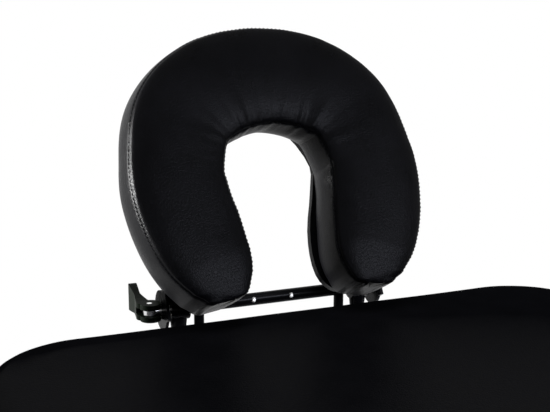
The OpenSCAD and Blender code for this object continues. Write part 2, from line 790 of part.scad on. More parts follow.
// Middle line and half width of the horseshoe, right tip to top: shares of half the cushion's width,
// of its length and of half its width
cushion_shares = [
    [0.524, 0.003, 0.060], [0.526, 0.012, 0.130], [0.532, 0.050, 0.200], [0.560, 0.125, 0.270],
    [0.630, 0.245, 0.314], [0.684, 0.382, 0.321], [0.684, 0.506, 0.317], [0.586, 0.674, 0.334],
    [0.340, 0.778, 0.351]
];
cushion_top_shares = [0, 0.814, 0.351];
plate_shares = [
    [0.552, 0.035, 0.020], [0.550, 0.045, 0.120], [0.540, 0.078, 0.205], [0.532, 0.140, 0.252],
    [0.553, 0.253, 0.261], [0.608, 0.400, 0.240], [0.620, 0.550, 0.214], [0.480, 0.722, 0.228],
    [0.265, 0.806, 0.234]
];
plate_top_shares = [0, 0.836, 0.234];
shoe_steps = 3;
crown_full_share = 0.28;
tip_tuck = 2;         // how far the back of the cushion is drawn up at its tips
arch_tuck = 9;        // the same at its arch
tuck_power = 1.2;

function sized(s) = [s[0] * cushion_w / 2, s[1] * cushion_l - hub_tip, s[2] * cushion_w / 2];
function flip(p) = [for (i = [len(p) - 1:-1:0]) [-p[i][0], p[i][1], p[i][2]]];
function shoe(shares, top) =
    let (right = [for (s = shares) sized(s)])
    curve(concat(right, [sized(top)], flip(right)), shoe_steps);

// Direction across the horseshoe at station i, square to its middle line
function across(s, i) =
    let (d = through(s, i + 1) - through(s, i - 1), l = norm([d[0], d[1]]))
    [-d[1] / l, d[0] / l];

// Section of the cushion: across as a share of the half width, then the share of the height
// from back to seam, then the share of the crown
section_shares = [
    [0.885, 0, 0], [0.955, 0.06, 0], [1, 0.25, 0], [1.02, 0.55, 0], [1, 0.9, 0], [0.99, 1, 0],
    [0.88, 1, 0.5], [0.63, 1, 0.88], [0.25, 1, 1]
];

function cushion_ring(s, i) =
    let (c = s[i], n = across(s, i), crown = cushion_crown * min(1, c[2] / (crown_full_share * cushion_w / 2)),
         base = hub_depth - cushion_t,
         tuck = tip_tuck + (arch_tuck - tip_tuck) * min(1, (c[1] + hub_tip) / (cushion_top_shares[1] * cushion_l)),
         place_of = function (q, side)
             [c[0] + side * n[0] * c[2] * q[0],
              c[1] + side * n[1] * c[2] * q[0] + tuck * pow(1 - q[1], tuck_power),
              base + cushion_t * q[1] + crown * q[2]])
    concat([for (q = section_shares) place_of(q, 1)],
           [for (k = [len(section_shares) - 1:-1:0]) place_of(section_shares[k], -1)]);

module cushion() {
    s = shoe(cushion_shares, cushion_top_shares);
    skin([for (i = [0:len(s) - 1]) cushion_ring(s, i)]);
}

// Plate under the cushion, a flat horseshoe
module shoe_plate() {
    s = shoe(plate_shares, plate_top_shares);
    n = len(s) - 1;
    rim = concat(
        [for (i = [0:n]) let (a = across(s, i)) [s[i][0] - a[0] * s[i][2], s[i][1] - a[1] * s[i][2]]],
        [for (i = [n:-1:0]) let (a = across(s, i)) [s[i][0] + a[0] * s[i][2], s[i][1] + a[1] * s[i][2]]]);
    difference() {
        translate([0, 0, plate_n]) linear_extrude(plate_t) polygon(rim);
        both_sides() bracket_holes() translate([0, 0, plate_n - over])
            cylinder(d = screw_d + 2 * run_play, h = plate_t);
    }
}

leather_black = "#141416";
alloy = "#b9bcc0";
steel_black = "#1b1b1d";
plastic_black = "#2a2d2b";
bright_steel = "#c9cbce";

module head_pad() { place() color(leather_black) half_pad(); }
module head_board() { place() color("#6b5238") half_board(); }
module head_rail_left() { place() color(alloy) mirror([1, 0, 0]) side_rail(false); }
module head_rail_right() { place() color(alloy) side_rail(true); }
module head_rail_end() { place() color(alloy) end_rail(true); }
module head_rail_seam() { place() color(alloy) seam_rail(); }
module head_leg_brackets() { place() color(plastic_black) both_sides() leg_bracket(); }
module head_leg_bolts() { place() color(bright_steel) both_sides() leg_bolt(); }
module cradle_sockets() { place() color(plastic_black) both_sides() cradle_socket(); }
module head_hinge_leaves() { place() color(bright_steel) both_sides() hinge_leaf(0, 2); }
module hinge_pins() {
    place() color(bright_steel) both_sides() translate([0, 0, fold_z])
        x_rod(hinge_pin_d, hinge_x - hinge_l / 2, hinge_x + hinge_l / 2);
}
module head_handle() { place() color(steel_black) carry_handle(); }
module head_fixings() {
    place() color(bright_steel) {
        both_sides() {
            stay_stud();
            latch_screw();
        }
        handle_screws();
    }
}

module foot_pad() { place() color(leather_black) foot_side() half_pad(); }
module foot_board() { place() color("#6b5238") foot_side() half_board(); }
module foot_rail_left() { place() color(alloy) foot_side() mirror([1, 0, 0]) side_rail(false); }
module foot_rail_right() { place() color(alloy) foot_side() side_rail(true); }
module foot_rail_end() { place() color(alloy) foot_side() end_rail(false); }
module foot_rail_seam() { place() color(alloy) foot_side() seam_rail(); }
module foot_leg_brackets() { place() color(plastic_black) foot_side() both_sides() leg_bracket(); }
module foot_leg_bolts() { place() color(bright_steel) foot_side() both_sides() leg_bolt(); }
module foot_hinge_leaves() { place() color(bright_steel) foot_side() both_sides() hinge_leaf(1, 1); }
module foot_handle() { place() color(steel_black) foot_side() carry_handle(); }
module foot_fixings() {
    place() color(bright_steel) foot_side() {
        both_sides() {
            stay_stud();
            latch_screw();
        }
        handle_screws();
    }
}

module head_leg_left() { place() color(alloy) mirror([1, 0, 0]) upper_leg(); }
module head_leg_right() { place() color(alloy) upper_leg(); }
module head_leg_bar() { place() color(alloy) leg_bar(); }
module foot_leg_left() { place() color(alloy) foot_side() mirror([1, 0, 0]) upper_leg(); }
module foot_leg_right() { place() color(alloy) foot_side() upper_leg(); }
module foot_leg_bar() { place() color(alloy) foot_side() leg_bar(); }

module head_stay_uppers() { place() color(bright_steel) both_sides() stay_upper(); }
module head_stay_lowers() { place() color(bright_steel) both_sides() stay_lower(); }
module foot_stay_uppers() { place() color(bright_steel) foot_side() both_sides() stay_upper(); }
module foot_stay_lowers() { place() color(bright_steel) foot_side() both_sides() stay_lower(); }

module head_left_lower_leg() { place() color(alloy) mirror([1, 0, 0]) lower_leg(); }
module head_right_lower_leg() { place() color(alloy) lower_leg(); }
module foot_left_lower_leg() { place() color(alloy) foot_side() mirror([1, 0, 0]) lower_leg(); }
module foot_right_lower_leg() { place() color(alloy) foot_side() lower_leg(); }
module head_left_foot() { place() color(steel_black) mirror([1, 0, 0]) rubber_foot(); }
module head_right_foot() { place() color(steel_black) rubber_foot(); }
module foot_left_foot() { place() color(steel_black) foot_side() mirror([1, 0, 0]) rubber_foot(); }
module foot_right_foot() { place() color(steel_black) foot_side() rubber_foot(); }
module head_left_button() { place() color(bright_steel) mirror([1, 0, 0]) height_button(); }
module head_right_button() { place() color(bright_steel) height_button(); }
module foot_left_button() { place() color(bright_steel) foot_side() mirror([1, 0, 0]) height_button(); }
module foot_right_button() { place() color(bright_steel) foot_side() height_button(); }

module latch_hook_left() { place() color(bright_steel) mirror([1, 0, 0]) latch_hook(); }
module latch_hook_right() { place() color(bright_steel) latch_hook(); }

module cradle_rods() { place() color(steel_black) both_sides() cradle_rod(); }
module lift_bolt() { place() color(bright_steel) at_lift() clamp_bolt(rod_x + rod_eye_w / 2); }
module lift_lever() { place() color(plastic_black) at_lift() clamp_lever(rod_x + rod_eye_w / 2); }
module cradle_arms() { place() color(steel_black) both_sides() cradle_arm(); }
module cradle_crossbar() { place() color(steel_black) crossbar(); }
module tilt_bolt() { place() color(bright_steel) at_hub() clamp_bolt(lever_side); }
module tilt_lever() { place() color(plastic_black) at_hub() clamp_lever(lever_side); }
module clamp_spacers() { place() color(bright_steel) spacers(); }
module cradle_brackets() { place() color(steel_black) both_sides() cradle_bracket(); }
module cradle_plate() { place() color(steel_black) on_cradle() shoe_plate(); }
module plate_screws() { place() color(bright_steel) on_cradle() both_sides() bracket_screws(); }
module face_cushion() { place() color(leather_black) on_cradle() cushion(); }

head_pad();
head_board();
head_rail_left();
head_rail_right();
head_rail_end();
head_rail_seam();
head_leg_brackets();
head_leg_bolts();
cradle_sockets();
head_hinge_leaves();
hinge_pins();
head_handle();
head_fixings();
foot_pad();
foot_board();
foot_rail_left();
foot_rail_right();
foot_rail_end();
foot_rail_seam();
foot_leg_brackets();
foot_leg_bolts();
foot_hinge_leaves();
foot_handle();
foot_fixings();
head_leg_left();
head_leg_right();
head_leg_bar();
foot_leg_left();
foot_leg_right();
foot_leg_bar();
head_stay_uppers();
head_stay_lowers();
foot_stay_uppers();
foot_stay_lowers();
head_left_lower_leg();
head_right_lower_leg();
foot_left_lower_leg();
foot_right_lower_leg();
head_left_foot();
head_right_foot();
foot_left_foot();
foot_right_foot();
head_left_button();
head_right_button();
foot_left_button();
foot_right_button();
latch_hook_left();
latch_hook_right();
cradle_rods();
lift_bolt();
lift_lever();
cradle_arms();
cradle_crossbar();
tilt_bolt();
tilt_lever();
clamp_spacers();
cradle_brackets();
cradle_plate();
plate_screws();
face_cushion();
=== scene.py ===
"""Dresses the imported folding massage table: soft covers, stitching, materials, floor, light and camera."""
import json
import math

import bmesh
import bpy
import numpy as np
from mathutils import Matrix, Vector, noise


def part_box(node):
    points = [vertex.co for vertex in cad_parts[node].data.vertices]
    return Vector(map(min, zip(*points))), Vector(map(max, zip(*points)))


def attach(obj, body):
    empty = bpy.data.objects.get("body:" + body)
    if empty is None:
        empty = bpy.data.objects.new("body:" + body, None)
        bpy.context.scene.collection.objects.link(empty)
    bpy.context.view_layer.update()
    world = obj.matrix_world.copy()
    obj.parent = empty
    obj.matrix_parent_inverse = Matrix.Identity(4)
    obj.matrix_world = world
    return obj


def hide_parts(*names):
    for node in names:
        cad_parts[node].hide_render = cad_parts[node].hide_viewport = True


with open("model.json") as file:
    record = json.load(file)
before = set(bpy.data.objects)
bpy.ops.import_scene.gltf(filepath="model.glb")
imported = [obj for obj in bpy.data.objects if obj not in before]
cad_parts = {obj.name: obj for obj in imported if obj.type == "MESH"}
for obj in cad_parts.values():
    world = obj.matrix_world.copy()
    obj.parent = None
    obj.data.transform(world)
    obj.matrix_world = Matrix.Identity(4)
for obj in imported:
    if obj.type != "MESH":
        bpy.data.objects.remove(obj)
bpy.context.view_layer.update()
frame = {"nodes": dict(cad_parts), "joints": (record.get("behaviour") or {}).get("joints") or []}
HUB = next(Vector(joint["pos_m"]) for joint in frame["joints"] if joint["name"] == "cradle_tilt")

# Cradle: the same named sizes as the solids, in metres
TILT = math.radians(60.5)
CUSHION_W = 0.290
CUSHION_L = 0.269
HUB_TIP = 0.017
CUSHION_BACK = 0.032
CUSHION_T = 0.056
CUSHION_CROWN = 0.008
CRADLE = Matrix.Translation(HUB) @ Matrix.Rotation(TILT, 4, "X")

# Middle line and half width of the horseshoe, right tip to top, as shares of the cushion's size
SHOE = [
    (0.524, 0.003, 0.060), (0.526, 0.012, 0.130), (0.532, 0.050, 0.200), (0.560, 0.125, 0.270),
    (0.630, 0.245, 0.314), (0.684, 0.382, 0.321), (0.684, 0.506, 0.317), (0.586, 0.674, 0.334),
    (0.340, 0.778, 0.351),
]
SHOE_TOP = (0, 0.814, 0.351)
# How far the back of the cushion is drawn up, at its tips and at its arch
TIP_TUCK = 0.002
ARCH_TUCK = 0.009

# Half section of the cover, from the middle of its back round to the middle of its face:
# share of the half width, share of the thickness, share of the crown
SECTION = [
    (0.00, 0.000, 0), (0.30, 0.000, 0), (0.58, 0.000, 0), (0.78, 0.000, 0), (0.870, 0.004, 0),
    (0.915, 0.022, 0), (0.945, 0.055, 0), (0.965, 0.110, 0), (0.983, 0.180, 0), (0.998, 0.260, 0),
    (1.008, 0.345, 0), (1.015, 0.430, 0), (1.019, 0.515, 0), (1.019, 0.600, 0), (1.016, 0.680, 0),
    (1.011, 0.755, 0), (1.006, 0.825, 0), (1.001, 0.885, 0), (0.997, 0.930, 0), (0.993, 0.965, 0),
    (0.990, 1.000, 0),
    (0.970, 1.000, 0.17), (0.940, 1.000, 0.33), (0.900, 1.000, 0.47), (0.850, 1.000, 0.60),
    (0.790, 1.000, 0.71), (0.715, 1.000, 0.81), (0.620, 1.000, 0.89), (0.505, 1.000, 0.94),
    (0.380, 1.000, 0.97), (0.250, 1.000, 0.99), (0.125, 1.000, 1.00), (0.00, 1.000, 1.00),
]
# Rows of SECTION: the last one that is glued to the plate, and the seam
GLUED_TO = 4
SEAM_AT = 20
# Points of the finished curve for each point of SHOE
SHOE_STEPS = 12
# The crown runs out towards the tips, where the half width is under this share of the cushion's
CROWN_FADE = 0.28
TUCK_POWER = 1.2

# Cloth: solver steps for each frame, passes that even out its movement, and the fabric
CLOTH_QUALITY = 4
CLOTH_EASE = 2
CLOTH_MASS = 0.25
CLOTH_STRETCH = 18
CLOTH_SHEAR = 8
CLOTH_BEND = 0.6
CLOTH_DAMPING = 3

# Seams, in metres. The groove:
GROOVE_DEPTH = 0.0013
GROOVE_W = 0.0016
# Puckers close beside it, with their coarse and fine pitch along the seam
PUCKER_DEPTH = 0.00042
PUCKER_REACH = 0.006
PUCKER_RISE = 0.0015
PUCKER_PITCH = 0.0075
PUCKER_FINE = 0.0033
# Long folds that gather the cover round the inner arch, on its face and on its side panel
FOLD_DEPTH = 0.0019
FOLD_REACH_FACE = 0.030
FOLD_REACH_SIDE = 0.022
FOLD_PITCH = 0.0085
FOLD_FINE = 0.0042
FOLD_LENGTH = 0.09
FOLD_FINE_LENGTH = 0.06
FOLD_FROM = 0.45
# Slack away from the arch
SLACK_DEPTH = 0.00035
SLACK_REACH = 0.020
SLACK_PITCH = 0.021
SLACK_LENGTH = 0.05
SEAM_RISE = 0.004
SEAM_REACH = 0.075
INNER_SEED = 3.1
OUTER_SEED = 7.7

# Stitches in the side panel
STITCH_PITCH = 0.0042
STITCH_L = 0.0029
STITCH_R = 0.0003
STITCH_SIDES = 6
STITCH_SINK = 0.0001
# Along one stitch: share of its length, lift and thickness as shares of its radius
STITCH_SHAPE = [(0.02, -0.6, 0.4), (0.25, 0.5, 0.95), (0.5, 0.8, 1), (0.75, 0.5, 0.95), (0.98, -0.6, 0.4)]
# Points at each tip of the horseshoe that carry no stitch
STITCH_SKIP = 4


def catmull(points, steps):
    """Points of a smooth curve through the given ones."""
    p = np.array(points, float)
    last = len(p) - 1
    out = []
    for i in range(last):
        a, b, c, d = p[max(i - 1, 0)], p[i], p[i + 1], p[min(i + 2, last)]
        for j in range(steps):
            t = j / steps
            out.append(0.5 * (2 * b + (c - a) * t + (2 * a - 5 * b + 4 * c - d) * t * t
                              + (3 * b - a - 3 * c + d) * t ** 3))
    out.append(p[last])
    return np.array(out)


def run_along(points):
    """Distance along a line at each of its points."""
    return np.concatenate([[0], np.cumsum(np.linalg.norm(np.diff(points, axis=0), axis=1))])


def shoe_path():
    """Middle line of the horseshoe with its half width, from the right tip over the top to the left."""
    right = [(s[0] * CUSHION_W / 2, s[1] * CUSHION_L - HUB_TIP, s[2] * CUSHION_W / 2)
             for s in SHOE + [SHOE_TOP]]
    left = [(-x, y, w) for x, y, w in right[-2::-1]]
    return catmull(right + left, SHOE_STEPS)


def across_of(path):
    """Direction across the path at each of its points, to its left."""
    before = np.vstack([path[:1], path[:-1]])[:, :2]
    after = np.vstack([path[1:], path[-1:]])[:, :2]
    d = after - before
    d /= np.linalg.norm(d, axis=1)[:, None]
    return np.stack([-d[:, 1], d[:, 0]], axis=1)


def new_mesh(name, verts, faces, smooth=True):
    mesh = bpy.data.meshes.new(name)
    mesh.from_pydata([tuple(v) for v in verts], [], faces)
    mesh.validate()
    mesh.update()
    obj = bpy.data.objects.new(name, mesh)
    bpy.context.scene.collection.objects.link(obj)
    for poly in mesh.polygons:
        poly.use_smooth = smooth
    return obj


def face_out(obj):
    """Turns every face of a closed mesh outwards."""
    bm = bmesh.new()
    bm.from_mesh(obj.data)
    bmesh.ops.recalc_face_normals(bm, faces=bm.faces)
    bm.to_mesh(obj.data)
    bm.free()


def tube_mesh(rings):
    """Vertices and faces of a solid through rings of equal length; the ends are fans."""
    m, n = rings.shape[:2]
    verts = rings.reshape(-1, 3).tolist()
    faces = [[i * n + j, i * n + (j + 1) % n, (i + 1) * n + (j + 1) % n, (i + 1) * n + j]
             for i in range(m - 1) for j in range(n)]
    for i, flip in ((0, True), (m - 1, False)):
        verts.append(rings[i].mean(axis=0).tolist())
        c = len(verts) - 1
        for j in range(n):
            k = (j + 1) % n
            faces.append([c, i * n + k, i * n + j] if flip else [c, i * n + j, i * n + k])
    return verts, faces


def coords(obj):
    v = np.empty(len(obj.data.vertices) * 3)
    obj.data.vertices.foreach_get("co", v)
    return v.reshape(-1, 3)


def set_coords(obj, v):
    obj.data.vertices.foreach_set("co", v.reshape(-1))
    obj.data.update()


def normals(obj):
    v = np.empty(len(obj.data.vertices) * 3)
    obj.data.vertices.foreach_get("normal", v)
    return v.reshape(-1, 3)


def hold_with_pins(obj, held):
    """Pins the vertices by their weights in held."""
    group = obj.vertex_groups.new(name="held")
    for weight in np.unique(held):
        if weight > 0:
            group.add(np.flatnonzero(held == weight).tolist(), float(weight), "REPLACE")


def cloth_step(obj, pressure, growth, frames):
    """How far each vertex moves when the mesh is blown up as cloth."""
    mod = obj.modifiers.new("cover", "CLOTH")
    cloth = mod.settings
    cloth.quality = CLOTH_QUALITY
    cloth.mass = CLOTH_MASS
    cloth.tension_stiffness = cloth.compression_stiffness = CLOTH_STRETCH
    cloth.shear_stiffness = CLOTH_SHEAR
    cloth.bending_stiffness = CLOTH_BEND
    cloth.air_damping = CLOTH_DAMPING
    cloth.use_pressure = True
    cloth.uniform_pressure_force = pressure
    cloth.shrink_min = -growth
    cloth.vertex_group_mass = "held"
    cloth.effector_weights.gravity = 0
    mod.collision_settings.use_collision = False
    mod.point_cache.frame_start = 1
    mod.point_cache.frame_end = frames
    for number in range(1, frames + 1):
        bpy.context.scene.frame_set(number)
    blown = obj.evaluated_get(bpy.context.evaluated_depsgraph_get())
    moved = np.array([v.co for v in blown.data.vertices])
    bpy.context.scene.frame_set(1)
    return moved - coords(obj)


def spread_grid(step, a, b):
    """The coarse grid's movement at every point of the fine one; the second direction is closed."""
    m, n = step.shape[:2]
    rows, cols = np.arange((m - 1) * a + 1) / a, np.arange(n * b) / b
    i, j = np.minimum(rows.astype(int), m - 2), cols.astype(int)
    u, v = (rows - i)[:, None, None], (cols - j)[None, :, None]
    k = (j + 1) % n
    low = step[i][:, j] * (1 - v) + step[i][:, k] * v
    high = step[i + 1][:, j] * (1 - v) + step[i + 1][:, k] * v
    return low * (1 - u) + high * u


def swell(rings, held, a, b, pressure, growth, frames, cap):
    """Blows the cover up as cloth on every a-th ring and b-th lane; held is 1 where it is fixed.

    No point moves further than cap.
    """
    coarse = rings[::a, ::b]
    m, n = coarse.shape[:2]
    verts, faces = tube_mesh(coarse)
    obj = new_mesh("cloth", verts, faces)
    face_out(obj)
    hold_with_pins(obj, np.concatenate([held[::a, ::b].reshape(-1), [1.0, 1.0 if a > 2 else 0.0]]))
    step = cloth_step(obj, pressure, growth, frames)[:m * n]
    bpy.data.objects.remove(obj)
    size = np.linalg.norm(step, axis=1)[:, None]
    step = (step * np.minimum(1, cap / np.maximum(size, 1e-9))).reshape(m, n, 3)
    loose = (held[::a, ::b] == 0)[:, :, None]
    for _ in range(CLOTH_EASE):
        along = np.concatenate([step[:1], step, step[-1:]])
        step = (along[:-2] + 2 * step + along[2:]) / 4
        step = (np.roll(step, 1, axis=1) + 2 * step + np.roll(step, -1, axis=1)) / 4 * loose
    return rings + spread_grid(step, a, b)


def wave(t, lane, seed):
    """Smooth deterministic unevenness, about -1 to 1."""
    return noise.noise(Vector((t, lane, seed)))


def cushion_rings(path):
    """Sections of the cushion along its path, each from the middle of its back and round."""
    across = across_of(path)
    half = np.array(SECTION)
    crown = CUSHION_CROWN * np.minimum(1, path[:, 2] / (CROWN_FADE * CUSHION_W / 2))
    ring = np.vstack([half, (half * (-1, 1, 1))[-2:0:-1]])
    a, h, c = ring[:, 0], ring[:, 1], ring[:, 2]
    xy = path[:, None, :2] + across[:, None, :] * (path[:, None, 2:3] * a[None, :, None])
    along = np.clip((path[:, 1] + HUB_TIP) / (SHOE_TOP[1] * CUSHION_L), 0, 1)
    tuck = TIP_TUCK + (ARCH_TUCK - TIP_TUCK) * along
    xy[:, :, 1] += tuck[:, None] * (1 - h[None, :]) ** TUCK_POWER
    z = CUSHION_BACK + CUSHION_T * h[None, :] + crown[:, None] * c[None, :]
    return np.concatenate([xy, z[:, :, None]], axis=2)


def seam_lanes(rings):
    """For each ring point, its distance in metres from the inner and the outer seam, along the ring."""
    n = rings.shape[1]
    step = np.linalg.norm(np.roll(rings, -1, axis=1) - rings, axis=2)
    run = np.concatenate([np.zeros((len(rings), 1)), np.cumsum(step, axis=1)[:, :-1]], axis=1)
    inner = run - run[:, SEAM_AT:SEAM_AT + 1]
    outer = run[:, n - SEAM_AT:n - SEAM_AT + 1] - run
    return inner, outer


def seam_move(dist, run, seed, gather):
    """How far the cover moves out at this distance from a seam and this far along it."""
    far = abs(dist)
    if far > SEAM_REACH:
        return 0.0
    move = -GROOVE_DEPTH * math.exp(-(far / GROOVE_W) ** 2)
    fine = wave(run / PUCKER_PITCH, 0, seed) + 0.5 * wave(run / PUCKER_FINE, 0, seed + 1)
    move += PUCKER_DEPTH * fine * math.exp(-far / PUCKER_REACH) * min(1, far / PUCKER_RISE)
    if gather > 0:
        reach = FOLD_REACH_FACE if dist > 0 else FOLD_REACH_SIDE
        fold = (wave(run / FOLD_PITCH, dist / FOLD_LENGTH, seed + 2)
                + 0.6 * wave(run / FOLD_FINE, dist / FOLD_FINE_LENGTH, seed + 3))
        fold = math.copysign(abs(fold) ** 0.8, fold)
        return move + FOLD_DEPTH * gather * fold * math.exp(-(far / reach) ** 1.6) * min(1, far / SEAM_RISE)
    slack = wave(run / SLACK_PITCH, dist / SLACK_LENGTH, seed + 4)
    return move + SLACK_DEPTH * slack * math.exp(-far / SLACK_REACH) * min(1, far / SEAM_RISE)


def sew(obj, rings, path):
    """Sinks the two seams, gathers the cover along them, and gives the lane behind each seam."""
    n = rings.shape[1]
    count = rings.shape[0] * n
    inner, outer = (d.reshape(-1) for d in seam_lanes(rings))
    run_in, run_out = run_along(rings[:, SEAM_AT]), run_along(rings[:, n - SEAM_AT])
    arch = np.maximum(0, (path[:, 1] / path[:, 1].max() - FOLD_FROM) / (1 - FOLD_FROM))
    co, no = coords(obj), normals(obj)
    for i in range(count):
        s = i // n
        co[i] += no[i] * seam_move(inner[i], run_in[s], INNER_SEED, arch[s])
        co[i] += no[i] * seam_move(outer[i], run_out[s], OUTER_SEED, 0)
    set_coords(obj, co)
    sewn = co[:count].reshape(rings.shape)
    return sewn[:, SEAM_AT - 1], sewn[:, n - SEAM_AT + 1]


def make_cushion():
    path = shoe_path()
    rings = cushion_rings(path)
    n = rings.shape[1]
    held = np.zeros(rings.shape[:2])
    held[:, [SEAM_AT, n - SEAM_AT]] = 1
    held[:, :GLUED_TO + 1] = held[:, n - GLUED_TO:] = 1
    rings = swell(rings, held, 3, 2, pressure=6.0, growth=0.006, frames=16, cap=0.0020)
    verts, faces = tube_mesh(rings)
    obj = new_mesh("cushion_cover", verts, faces)
    face_out(obj)
    edges = sew(obj, rings, path)
    obj.data.transform(CRADLE)
    smooth = obj.modifiers.new("smooth", "SUBSURF")
    smooth.levels = smooth.render_levels = 1
    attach(obj, "cradle_head")
    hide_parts("face_cushion")
    return obj, edges


def stitches(name, lines):
    """Short thread stitches laid along lines of (points, outward directions)."""
    verts, faces = [], []
    for pts, outs in lines:
        run = run_along(pts)
        for k in range(int(run[-1] / STITCH_PITCH)):
            mids = [k * STITCH_PITCH + share * STITCH_L for share, _, _ in STITCH_SHAPE]
            ps = [np.array([np.interp(t, run, pts[:, a]) for a in range(3)]) for t in mids]
            out = np.array([np.interp(mids[2], run, outs[:, a]) for a in range(3)])
            out /= np.linalg.norm(out)
            along = ps[-1] - ps[0]
            along /= np.linalg.norm(along)
            side = np.cross(along, out)
            base = len(verts)
            for p, (_, lift, fat) in zip(ps, STITCH_SHAPE):
                c = p + out * lift * STITCH_R
                for q in range(STITCH_SIDES):
                    ang = q * math.tau / STITCH_SIDES
                    verts.append(c + fat * STITCH_R * (math.cos(ang) * side + math.sin(ang) * out))
            last = base + (len(ps) - 1) * STITCH_SIDES
            for ring in range(base, last, STITCH_SIDES):
                for q in range(STITCH_SIDES):
                    a, b = ring + q, ring + (q + 1) % STITCH_SIDES
                    faces.append([a, b, b + STITCH_SIDES, a + STITCH_SIDES])
            faces.append([base + q for q in range(STITCH_SIDES)])
            faces.append([last + q for q in reversed(range(STITCH_SIDES))])
    obj = new_mesh(name, verts, faces)
    face_out(obj)
    return obj


def cushion_stitching(edges):
    """A row of stitches in the side panel, just behind each seam."""
    across = across_of(shoe_path())
    kept = slice(STITCH_SKIP, -STITCH_SKIP)
    lines = []
    for points, sign in zip(edges, (1, -1)):
        outs = np.column_stack([across * sign, np.zeros(len(across))])[kept]
        lines.append((points[kept] - outs * STITCH_SINK, outs))
    obj = stitches("cushion_stitches", lines)
    obj.data.transform(CRADLE)
    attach(obj, "cradle_head")
    return obj


# Table top, in metres
TOP_W = 0.600
PAD_T = 0.055
PAD_CORNER = 0.090
PAD_SEAM_CORNER = 0.014
PAD_EDGE_R = 0.018
PAD_CROWN = 0.002
# Spacing of the mesh along a pad's outline, rings across its top, and lanes for each lane of its cloth
PAD_SPACING = 0.0058
PAD_TOP_RINGS = 20
CLOTH_LANES = 4
# Rings of a pad: those stapled underneath, the end of those that cling to the board, the one on the
# outline, and the last one that the gathers reach
PAD_STAPLED = 3
PAD_CLINGING = 6
PAD_OUTLINE_RING = 9
PAD_LAST_GATHER = 24
# Gathers round the corners: depth, middle and reach from the sides, pitches; and the slack along the sides
CORNER_DEPTH = 0.0011
CORNER_IN = 0.027
CORNER_REACH = 0.075
CORNER_PITCH = 0.011
CORNER_FINE = 0.005
SIDE_SLACK = 0.0005
SIDE_PITCH = 0.06


def rounded_outline(x, y0, y1, outer_r, inner_r, spacing):
    """Closed outline, anticlockwise, of a rectangle with two round corners at each end."""
    corners = [(x, y1, outer_r, 0), (-x, y1, outer_r, 90), (-x, y0, inner_r, 180), (x, y0, inner_r, 270)]
    dense = []
    for cx, cy, r, a0 in corners:
        sx, sy = (1 if cx > 0 else -1), (1 if cy == y1 else -1)
        mx, my = cx - sx * r, cy - sy * r
        for a in np.linspace(a0, a0 + 90, 41):
            dense.append((mx + r * math.cos(math.radians(a)), my + r * math.sin(math.radians(a))))
    dense.append(dense[0])
    dense = np.array(dense)
    run = run_along(dense)
    count = CLOTH_LANES * int(run[-1] / spacing / CLOTH_LANES)
    at = np.arange(count) * run[-1] / count
    return np.stack([np.interp(at, run, dense[:, 0]), np.interp(at, run, dense[:, 1])], axis=1), run[-1]


def pad_profile():
    """Half section of a pad: inset from the outline and height above its underside."""
    side = PAD_T - PAD_CROWN
    out = [(0.030, 0.0), (0.012, 0.0), (0.003, 0.0), (0.0012, 0.0018), (0.0004, 0.005), (0.0, 0.010),
           (0.0, 0.016), (0.0, 0.022), (0.0, 0.028), (0.0, side - PAD_EDGE_R)]
    for a in (11, 22, 33, 44, 55, 66, 78, 90):
        a = math.radians(a)
        out.append((PAD_EDGE_R * (1 - math.cos(a)), side - PAD_EDGE_R * (1 - math.sin(a))))
    return out


def make_pad(name, node, body, sign):
    """Cover of one half; the foot half is made as the head half's mirror image."""
    lo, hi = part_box(node)
    y0, y1 = (lo[1], hi[1]) if sign > 0 else (-hi[1], -lo[1])
    outline, total = rounded_outline(TOP_W / 2, y0, y1, PAD_CORNER, PAD_SEAM_CORNER, PAD_SPACING)
    centre = np.array([0, (y0 + y1) / 2])
    n = len(outline)
    prev, nxt = np.roll(outline, 1, axis=0), np.roll(outline, -1, axis=0)
    d = nxt - prev
    inward = np.stack([-d[:, 1], d[:, 0]], axis=1) / np.linalg.norm(d, axis=1)[:, None]
    rings = []
    for inset, z in pad_profile():
        rings.append(np.column_stack([outline + inward * inset, np.full(n, lo[2] + z)]))
    rim = rings[-1][:, :2]
    for k in range(1, PAD_TOP_RINGS):
        f = 1 - k / PAD_TOP_RINGS
        xy = centre + (rim - centre) * f
        z = hi[2] - PAD_CROWN * f ** 3
        rings.append(np.column_stack([xy, np.full(n, z)]))
    rings = np.array(rings)
    held = np.zeros(rings.shape[:2])
    held[:PAD_STAPLED] = 1
    held[PAD_STAPLED:PAD_CLINGING] = 0.2
    rings = swell(rings, held, 2, CLOTH_LANES, pressure=2.0, growth=0.004, frames=12, cap=0.0016)
    verts, faces = tube_mesh(rings)
    obj = new_mesh(name, verts, faces)
    face_out(obj)
    gather_pad(obj, rings, total)
    if sign < 0:
        obj.data.transform(Matrix.Diagonal((1, -1, 1, 1)))
        face_out(obj)
    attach(obj, body)
    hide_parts(node)
    return obj


